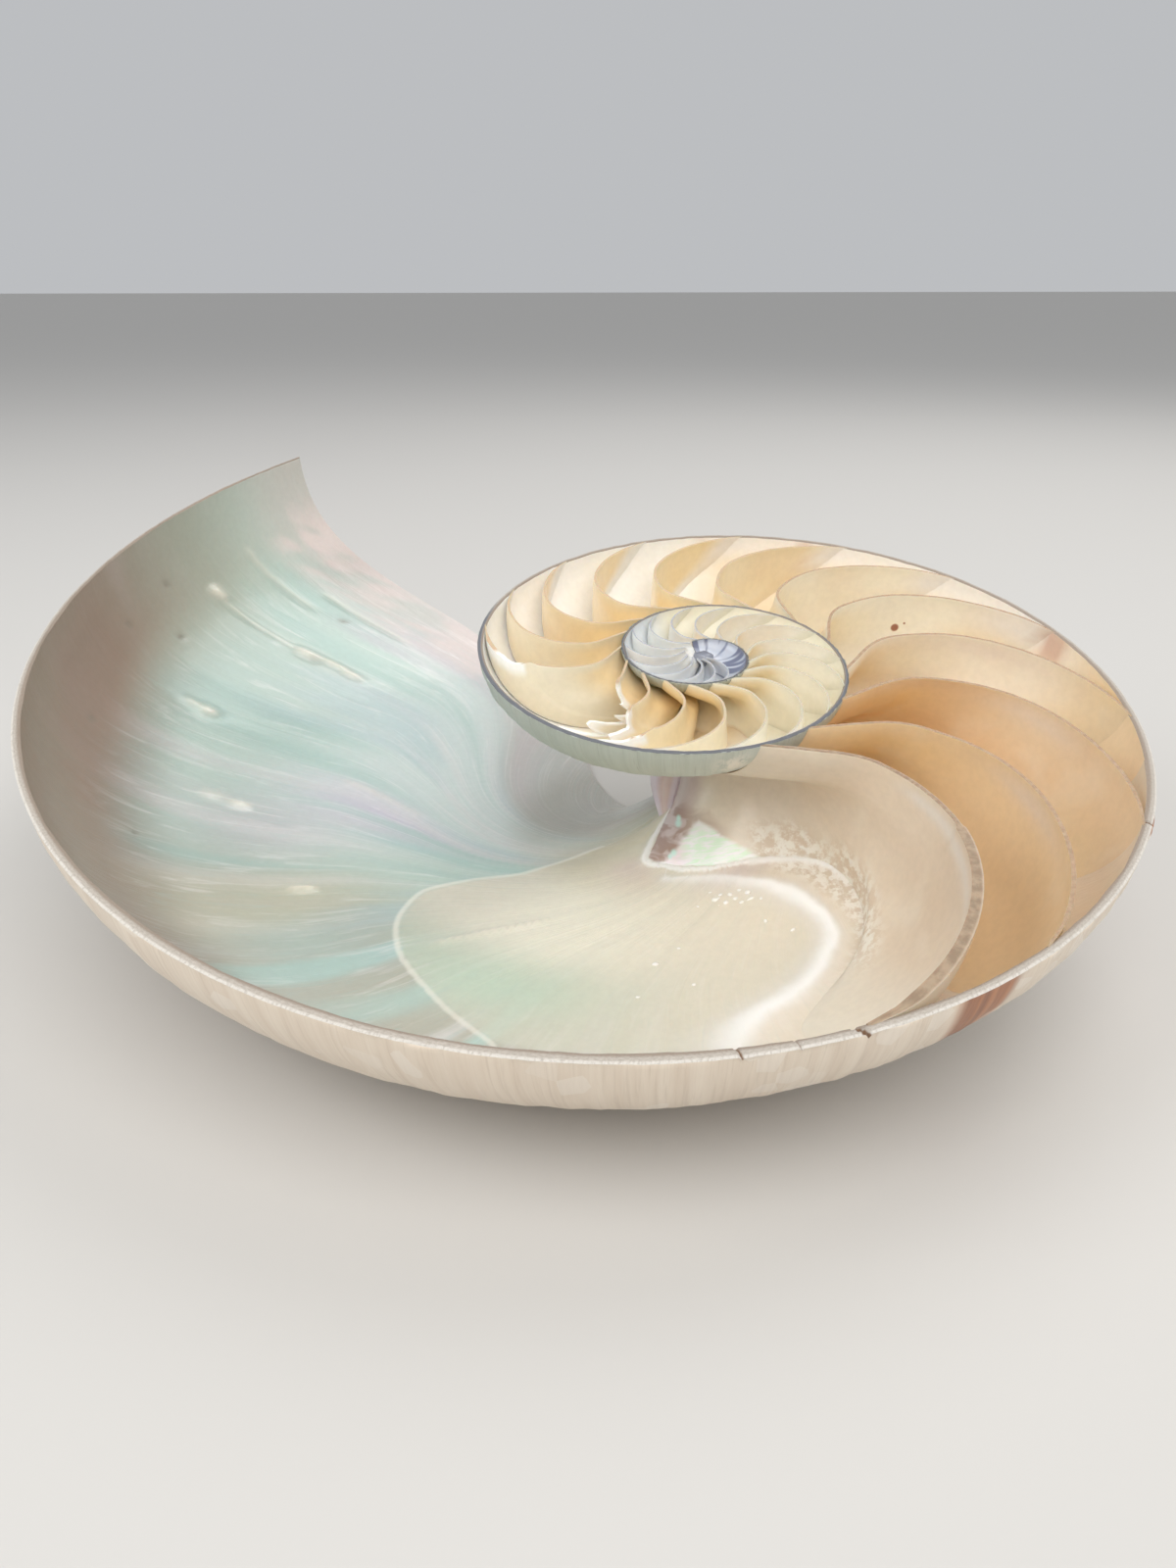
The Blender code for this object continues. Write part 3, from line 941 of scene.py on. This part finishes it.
def wall_piece(name, backs, rows, inside_finish):
    living = inside_finish is LIVING

    def place(unit):
        unled = backs[np.rint(unit[:, 0] * (len(backs) - 1)).astype(int)]
        side = rows[np.rint(unit[:, 1] * (len(rows) - 1)).astype(int)]
        skin = unit[:, 2]
        rim = side == 0
        crack = np.zeros(len(unit))
        for at, wide, deep, slant in CRACKS:
            centre = radians(at) + radians(slant) * (skin - 0.5)
            near = np.clip(1 - np.abs(unled - centre) / radians(wide), 0, 1)
            crack = np.maximum(crack, near * deep)
        nick = 0.012 * crack * np.clip(1 - side / 0.04, 0, 1)
        side = side + nick
        grown = unled - lip_lead(side, unled)
        inner = inner_face(side, grown)
        outer = outer_face(side, grown)
        line = lip_line(side, unled)
        marks = {"back": grown, "side": side, "skin": skin}
        marks["crack"] = crack * np.clip(1 - (side - nick) / 0.007, 0, 1)
        marks["chalk"] = bell(np.degrees(grown), 502, 5) * bell(side, 0.13, 0.08)
        marks["flames"] = flame(np.degrees(grown), side)
        if living:
            points = spread(*inner, grown)
            height, suture, band, layer = relief(line, side, grown, points)
            height = height * (skin < ON_NACRE)
            marks.update(suture=suture, band=band, layer=layer, line=np.radians(line))
            marks["reach"] = BAND_REACH(side) * MM
            marks["glow"] = BAND_GLOW(side)
            inward_way = np.stack([inner[0] - outer[0], inner[1] - outer[1]])
            inward_way /= np.linalg.norm(inward_way, axis=0) + 1e-9
            inner = (inner[0] + inward_way[0] * height, inner[1] + inward_way[1] * height)
        steps = 0.0001 * waves(31, line * 1.3, side * 2)
        steps = steps + 0.00005 * waves(32, line * 3.1, side * 3)
        outer = (outer[0] + steps * (skin > ON_PORCELAIN) * ~rim, outer[1])
        across = inner[0] + (outer[0] - inner[0]) * skin
        depth = inner[1] + (outer[1] - inner[1]) * skin
        worn = RIM_ROUNDING * np.abs(2 * skin - 1) ** 2.2
        worn = worn + 0.00005 * (1 + waves(3, line * 1.7, skin * 3))
        depth = np.where(rim, depth + worn, depth)
        degrees = np.degrees(grown)
        colours = living_tint(line, side, degrees) if living else gas_tint(degrees, side)
        return spread(across, depth, grown), marks, colours

    block = unit_block((len(backs) - 1, len(rows) - 1, 3))
    return bent_block(block, name, place, [inside_finish, PORCELAIN, SAWN])


def with_cracks(backs):
    """Adds columns to a wall at each crack in its rim."""
    extra = [
        x
        for at, wide, _, slant in CRACKS
        for x in np.arange(at - wide - slant / 2, at + wide + slant / 2 + 0.01, 0.14)
    ]
    extra = [x for x in extra if backs[0] < x < backs[-1]]
    kept = [b for b in backs if not extra or min(abs(b - x) for x in extra) > 0.12]
    return np.radians(np.array(sorted(kept + extra)))


def septum_back(u, side, middle):
    shift = middle - FIRST_SEPTUM
    older = smooth((shift - radians(40)) / radians(70))
    suture = SUTURE(side) + (OLD_SUTURE(side) - SUTURE(side)) * older
    bowl = BOWL(side)
    outward = np.clip((u - APEX) / (1 - APEX), 0, 1.1)
    coilward = np.clip((APEX - u) / APEX, 0, 1.1)
    spread_foot = 1 - np.sqrt(1 - np.clip(outward, 0, 1) ** 12)
    rise_out = 0.88 * outward**2.2 + 0.12 * spread_foot
    return shift + bowl + (suture - bowl) * rise_out + (ON_COIL(side) - bowl) * coilward**2.6


def line_gap(points, sides, course, behind):
    """Each point's distance from a line on the outer wall's nacre, negative ahead of the line."""
    along = np.linspace(*sides, 260)
    back = course(along)
    line = spread(*inner_face(along, back), back)
    gap = np.full(len(points), 1.0)
    for place in line:
        gap = np.minimum(gap, np.linalg.norm(points - place, axis=1))
    return np.where(behind, gap, -gap)


def broken_edge(number, u):
    """How far down a broken septum's top edge has gone."""
    if number not in BROKEN:
        return np.zeros(len(u))
    deepest, first, last = BROKEN[number]
    gone = smooth((u - first) / 0.16) * smooth((last - u) / 0.14)
    rng = np.random.default_rng(70 + number)
    jags = rng.uniform(0.5, 1.05, 13)
    return gone * deepest * np.interp(u, np.linspace(first, last, len(jags)), jags)


def pearl_frame():
    """The corner of column and suture, the way along the suture and the way up the septum."""
    corner, far, high = spot(17.8, 110, 25.2), spot(19.3, 163.3, 20.1), spot(15.5, 147, 19.4)
    along_way = (far - corner) / np.linalg.norm(far - corner)
    up_way = high - corner - along_way * ((high - corner) @ along_way)
    return corner, along_way, up_way / np.linalg.norm(up_way)


PEARL_FRAME = pearl_frame()


def septum_piece(number, steps):
    middle = FIRST_SEPTUM + radians(sum(PITCHES[:number]))
    last = number == 0
    thick_at = thinned(LAST_SEPTUM if last else SEPTUM, middle)
    rows = curve([(0, 0), (0.3, 0.36), (0.55, 0.72), (0.85, 0.88), (1, 0.985)])

    def sheet(u, side):
        back = septum_back(u, side, middle)
        across, depth = chamber_place(u, side, back)
        return spread(across, depth, back)

    def place(unit):
        u = -ROOT_IN + SPAN * unit[:, 0]
        side = rows(unit[:, 1])
        drop = broken_edge(number, u)
        side = side + drop * (1 - side)
        skin = unit[:, 2]
        points = sheet(u, side)
        along = sheet(u + 0.01, side) - sheet(u - 0.01, side)
        down = sheet(u, side + 0.01) - sheet(u, np.maximum(side - 0.01, 0))
        normal = np.cross(along, down)
        normal /= np.linalg.norm(normal, axis=1)[:, None] + 1e-12
        thick_here = thick_at * (1 + 0.9 * (drop > CHIPPED))
        step = rise(u, 0.585, 0.02) * fall(side, 0.2, 0.16)
        thick = thick_here * (0.5 + 0.5 * step if last else 1)
        thick = thick * (1 - 0.5 * rise(u, 0.97, 0.03))
        points = points + normal * ((skin - 0.5) * thick)[:, None]
        top = side == 0
        uneven = 0.00004 * waves(number, points[:, 0] * 900, points[:, 1] * 900)
        points[top, 2] = -0.00014 + uneven[top]
        marks = {"back": np.full(len(u), middle), "side": side, "skin": skin, "out": u}
        marks["worn"] = (drop > 0.03) * 1.0
        if last:
            marks["suture"] = line_gap(points, SUTURE_SPAN, SUTURE, True)
            marks["around"] = np.arctan2(points[:, 1], points[:, 0]) % tau
            corner, along_way, up_way = PEARL_FRAME
            marks["pearl_along"] = (points - corner) @ along_way * 1000
            marks["pearl_up"] = (points - corner) @ up_way * 1000
        return points, marks, septum_tint(number, u, side, septum_back(u, side, middle), points)

    face = LAST_SEPTAL if last else SEPTAL
    bent_block(unit_block(steps), f"septum_{number + 1}", place, [face, face, SEPTUM_EDGE])


def laid_down(mesh, name):
    """Brings an upright mesh to where the shell lies, with the septa's nacre on it."""
    bmesh.ops.transform(mesh, matrix=LIE, verts=mesh.verts)
    bmesh.ops.recalc_face_normals(mesh, faces=mesh.faces)
    data = data_from(mesh, name)
    data.materials.append(SEPTAL)
    return data


def column_piece():
    """The column of callus on the coiling axis, from the sawn plane down into the closed navel."""
    mesh = bmesh.new()
    raised = Matrix.Translation((0, 0, 0.5))
    bmesh.ops.create_cone(
        mesh, cap_ends=True, segments=48, radius1=1, radius2=1, depth=1, matrix=raised
    )
    upright = [e for e in mesh.edges if abs(e.verts[0].co.z - e.verts[1].co.z) > 0.9]
    bmesh.ops.subdivide_edges(mesh, edges=upright, cuts=40)
    places = []
    for vert in mesh.verts:
        share = vert.co.z
        depth = share * (NAVEL_DEPTH - COLUMN_SHORT)
        wide = COLUMN_RADIUS(share)
        bearing = np.arctan2(vert.co.y, vert.co.x)
        places.append((bearing, share))
        wide *= 1 + 0.08 * np.sin(5 * bearing + 3 * share) + 0.04 * np.sin(13 * bearing - 6 * share)
        x, y = vert.co.x * wide + COLUMN_X(share), vert.co.y * wide + COLUMN_Y(share)
        vert.co = Vector((x, y, -depth - COLUMN_SUNK))
    data = laid_down(mesh, "column")
    tone = plain(len(data.vertices), 222, 196, 190)
    bearing, share = np.array(places).T
    tone = coats(
        tone,
        (226, 214, 226, 0.8 * smooth(0.5 + np.cos(5 * bearing))),
        (128, 132, 146, fall(share, 0.4, 0.2)),
    )
    add_tint(data, tone)
    for mark, value in (("back", 2.6), ("side", 0.9), ("skin", 0)):
        add_attribute(data, mark, np.full(len(data.vertices), value))
    data.shade_smooth()
    shell_piece("column", data)


def grain_piece():
    """Small flattened beads of pearl, half sunk in the nacre, each a little different."""
    rng = np.random.default_rng(17)
    mesh = bmesh.new()
    for back, side, size in GRAINS:
        at, side = np.radians([back]), np.array([side])
        here = spread(*inner_face(side, at), at)[0]
        ahead = spread(*inner_face(side, at + 0.01), at + 0.01)[0] - here
        down = spread(*inner_face(side + 0.01, at), at)[0] - here
        axes = [Vector(ahead).normalized(), Vector(down).normalized()]
        axes.append(axes[0].cross(axes[1]).normalized())
        wide = size * MM * np.array([rng.uniform(0.9, 1.7), rng.uniform(0.6, 1), 0.5])
        shape = Matrix([a * w for a, w in zip(axes, wide)]).transposed().to_4x4()
        shape = Matrix.Translation(here) @ shape
        bmesh.ops.create_icosphere(mesh, subdivisions=3, radius=1, matrix=shape)
    for vert in mesh.verts:
        x, y, z = vert.co * 2400
        vert.co += vert.normal * 0.00004 * (np.sin(x + 2 * y) + np.sin(y - 2 * z))
    data = laid_down(mesh, "pearl_grains")
    add_tint(data, plain(len(data.vertices), 250, 244, 234))
    data.shade_smooth()
    shell_piece("pearl_grains", data)


# The walls' columns, in degrees back from the lip, and rows, closer together where more shows.
BODY_END, COIL_END = 200, 1060
columns_at = curve([(0, 0), (0.43, 60), (0.6, 100), (0.955, 180), (1, BODY_END)])
living_columns = with_cracks(columns_at(np.linspace(0, 1, 345)).tolist())
rows_at = curve([(0, 0), (0.3, 0.25), (0.5, 0.48), (0.85, 0.85), (1, 1)])
living_rows = rows_at(np.linspace(0, 1, 121))
coil_columns = np.radians(np.linspace(BODY_END, COIL_END, 600))
coil_rows = curve([(0, 0), (0.4, 0.2), (1, 1)])(np.linspace(0, 1, 49))
body_wall = wall_piece("body_wall", living_columns, living_rows, LIVING)
wall_piece("coil_wall", coil_columns, coil_rows, GAS)
septum_piece(0, (110, 150, 1))
for number in range(1, len(PITCHES) + 1):
    septum_piece(number, (44, 44, 1) if number < SMALL_SEPTA_FROM else (30, 26, 1))
column_piece()
grain_piece()
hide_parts("nautilus_shell")


# ---------------------------------------------------------------- stage, light and camera


FLOOR_COLOUR = (0.6, 0.585, 0.56, 1)
SKY_COLOUR, SKY_STRENGTH = (0.9, 0.92, 0.95, 1), 0.56
# The soft lights: name, place, what each aims at, size, watts, colour.
LAMPS = [
    ("overhead", (0.12, -0.42, 0.62), (0, 0, 0), 0.8, 3.7, (1, 0.98, 0.95)),
    ("left_fill", (-0.6, -0.2, 0.45), (0, 0, 0.02), 0.5, 1.8, (0.95, 0.98, 1)),
    ("back_right", (0.3, 0.35, 0.6), (0, 0, 0.02), 0.5, 1.6, (1, 0.98, 0.96)),
]
# The camera: its lens and sensor in millimetres, where it stands, and its own right, up and back.
LENS, SENSOR = 24.56, 36
CAMERA_AT = (0.0045448, -0.14741371, 0.07971817)
CAMERA_RIGHT = (0.99999712, -0.00182291, -0.00155977)
CAMERA_UP = (0.00218227, 0.42101598, 0.9070506)
CAMERA_BACK = (-0.00099678, -0.90705139, 0.42101874)


def stage_floor():
    mesh = bmesh.new()
    bmesh.ops.create_grid(mesh, x_segments=1, y_segments=1, size=20)
    data = data_from(mesh, "floor")
    data.materials.append(Finish("pale_floor").set(Base_Color=FLOOR_COLOUR, Roughness=0.8))
    floor = bpy.data.objects.new("floor", data)
    bpy.context.scene.collection.objects.link(floor)


def soft_light(name, place, aim, size, watts, colour):
    lamp = bpy.data.lights.new(name, "AREA")
    lamp.shape = "DISK"
    lamp.size = size
    lamp.energy = watts
    lamp.color = colour
    made = bpy.data.objects.new(name, lamp)
    made.location = place
    made.rotation_euler = (Vector(aim) - Vector(place)).to_track_quat("-Z", "Y").to_euler()
    bpy.context.scene.collection.objects.link(made)


def camera():
    lens = bpy.data.cameras.new("camera")
    lens.lens = LENS
    lens.sensor_width = SENSOR
    lens.clip_start = 0.005
    made = bpy.data.objects.new("camera", lens)
    turn = Matrix((CAMERA_RIGHT, CAMERA_UP, CAMERA_BACK)).transposed().to_4x4()
    made.matrix_world = Matrix.Translation(CAMERA_AT) @ turn
    bpy.context.scene.collection.objects.link(made)
    bpy.context.scene.camera = made


stage_floor()
for lamp in LAMPS:
    soft_light(*lamp)
bpy.context.scene.view_settings.view_transform = "Standard"
world = bpy.data.worlds.new("studio")
world.use_nodes = True
sky = world.node_tree.nodes["Background"].inputs
sky["Color"].default_value = SKY_COLOUR
sky["Strength"].default_value = SKY_STRENGTH
bpy.context.scene.world = world
camera()
